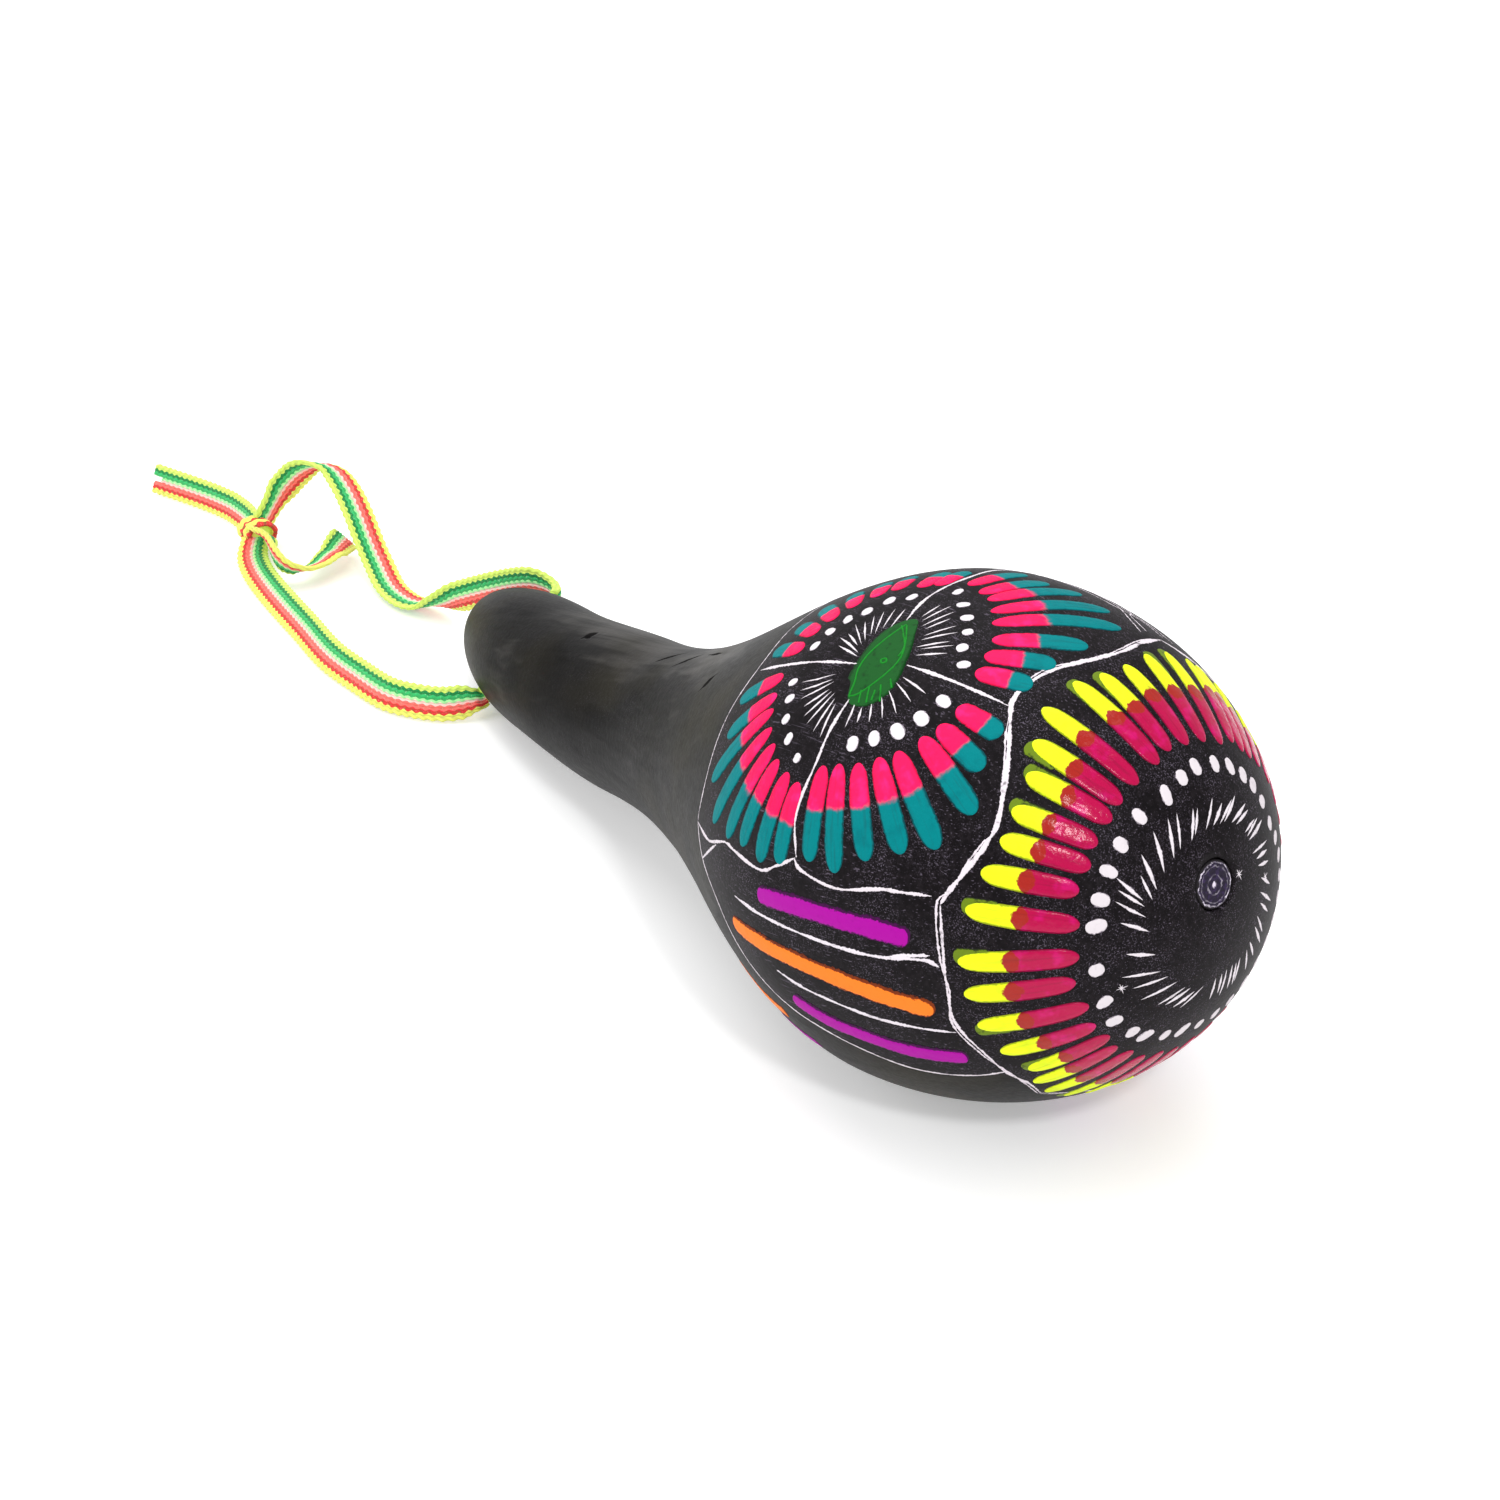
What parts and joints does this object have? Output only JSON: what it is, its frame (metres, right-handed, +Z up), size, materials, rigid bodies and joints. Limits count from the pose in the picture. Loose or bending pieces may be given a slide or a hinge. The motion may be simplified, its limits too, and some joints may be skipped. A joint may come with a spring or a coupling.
{
  "type": "gourd maraca",
  "caption": "Gourd rattle with a blackened, painted rind: loose seeds in a pegged bowl, a curved neck for a handle and a flat braid knotted through it as a wrist loop.",
  "frame": {"origin": "on the floor that the gourd lies on, under the middle of the gourd's box", "axes": "+X towards the blossom end along the gourd's length, +Y to the side that the neck bends to, +Z up"},
  "size_m": [0.3715, 0.088, 0.0879],
  "materials": {
    "blackened_rind": "charred and waxed gourd rind, semi-matt, with scratched white lines and glossy paint",
    "stained_peg": "dark stained wood, matt",
    "dry_seed": "dry seed coat",
    "neon_braid": "flat braid of bright synthetic yarn in lengthwise stripes"
  },
  "bodies": {
    "gourd": {"gourd_shell": "blackened_rind", "blossom_plug": "stained_peg", "cord_in_neck": "neon_braid", "cord_upper_strand": "neon_braid", "cord_lower_strand": "neon_braid", "cord_knot": "neon_braid", "cord_tail_long": "neon_braid", "cord_tail_short": "neon_braid"},
    "seed_01": {"rattle_seed_01": "dry_seed"},
    "seed_02": {"rattle_seed_02": "dry_seed"},
    "seed_03": {"rattle_seed_03": "dry_seed"},
    "seed_04": {"rattle_seed_04": "dry_seed"},
    "seed_05": {"rattle_seed_05": "dry_seed"},
    "seed_06": {"rattle_seed_06": "dry_seed"},
    "seed_07": {"rattle_seed_07": "dry_seed"},
    "seed_08": {"rattle_seed_08": "dry_seed"},
    "seed_09": {"rattle_seed_09": "dry_seed"},
    "seed_10": {"rattle_seed_10": "dry_seed"},
    "seed_11": {"rattle_seed_11": "dry_seed"},
    "seed_12": {"rattle_seed_12": "dry_seed"}
  },
  "joints": [
    {"name": "seed_01_tumble", "type": "hinge", "parent": "gourd", "child": "seed_01", "pos_m": [0.06497, 0, 0.04359], "axis": [0.9813, 0, 0.1925], "continuous": true},
    {"name": "seed_02_tumble", "type": "hinge", "parent": "gourd", "child": "seed_02", "pos_m": [0.06497, 0, 0.04359], "axis": [0.9813, 0, 0.1925], "continuous": true},
    {"name": "seed_03_tumble", "type": "hinge", "parent": "gourd", "child": "seed_03", "pos_m": [0.06497, 0, 0.04359], "axis": [0.9813, 0, 0.1925], "continuous": true},
    {"name": "seed_04_tumble", "type": "hinge", "parent": "gourd", "child": "seed_04", "pos_m": [0.06497, 0, 0.04359], "axis": [0.9813, 0, 0.1925], "continuous": true},
    {"name": "seed_05_tumble", "type": "hinge", "parent": "gourd", "child": "seed_05", "pos_m": [0.06497, 0, 0.04359], "axis": [0.9813, 0, 0.1925], "continuous": true},
    {"name": "seed_06_tumble", "type": "hinge", "parent": "gourd", "child": "seed_06", "pos_m": [0.06497, 0, 0.04359], "axis": [0.9813, 0, 0.1925], "continuous": true},
    {"name": "seed_07_tumble", "type": "hinge", "parent": "gourd", "child": "seed_07", "pos_m": [0.06497, 0, 0.04359], "axis": [0.9813, 0, 0.1925], "continuous": true},
    {"name": "seed_08_tumble", "type": "hinge", "parent": "gourd", "child": "seed_08", "pos_m": [0.06497, 0, 0.04359], "axis": [0.9813, 0, 0.1925], "continuous": true},
    {"name": "seed_09_tumble", "type": "hinge", "parent": "gourd", "child": "seed_09", "pos_m": [0.06497, 0, 0.04359], "axis": [0.9813, 0, 0.1925], "continuous": true},
    {"name": "seed_10_tumble", "type": "hinge", "parent": "gourd", "child": "seed_10", "pos_m": [0.06497, 0, 0.04359], "axis": [0.9813, 0, 0.1925], "continuous": true},
    {"name": "seed_11_tumble", "type": "hinge", "parent": "gourd", "child": "seed_11", "pos_m": [0.06497, 0, 0.04359], "axis": [0.9813, 0, 0.1925], "continuous": true},
    {"name": "seed_12_tumble", "type": "hinge", "parent": "gourd", "child": "seed_12", "pos_m": [0.06497, 0, 0.04359], "axis": [0.9813, 0, 0.1925], "continuous": true}
  ]
}
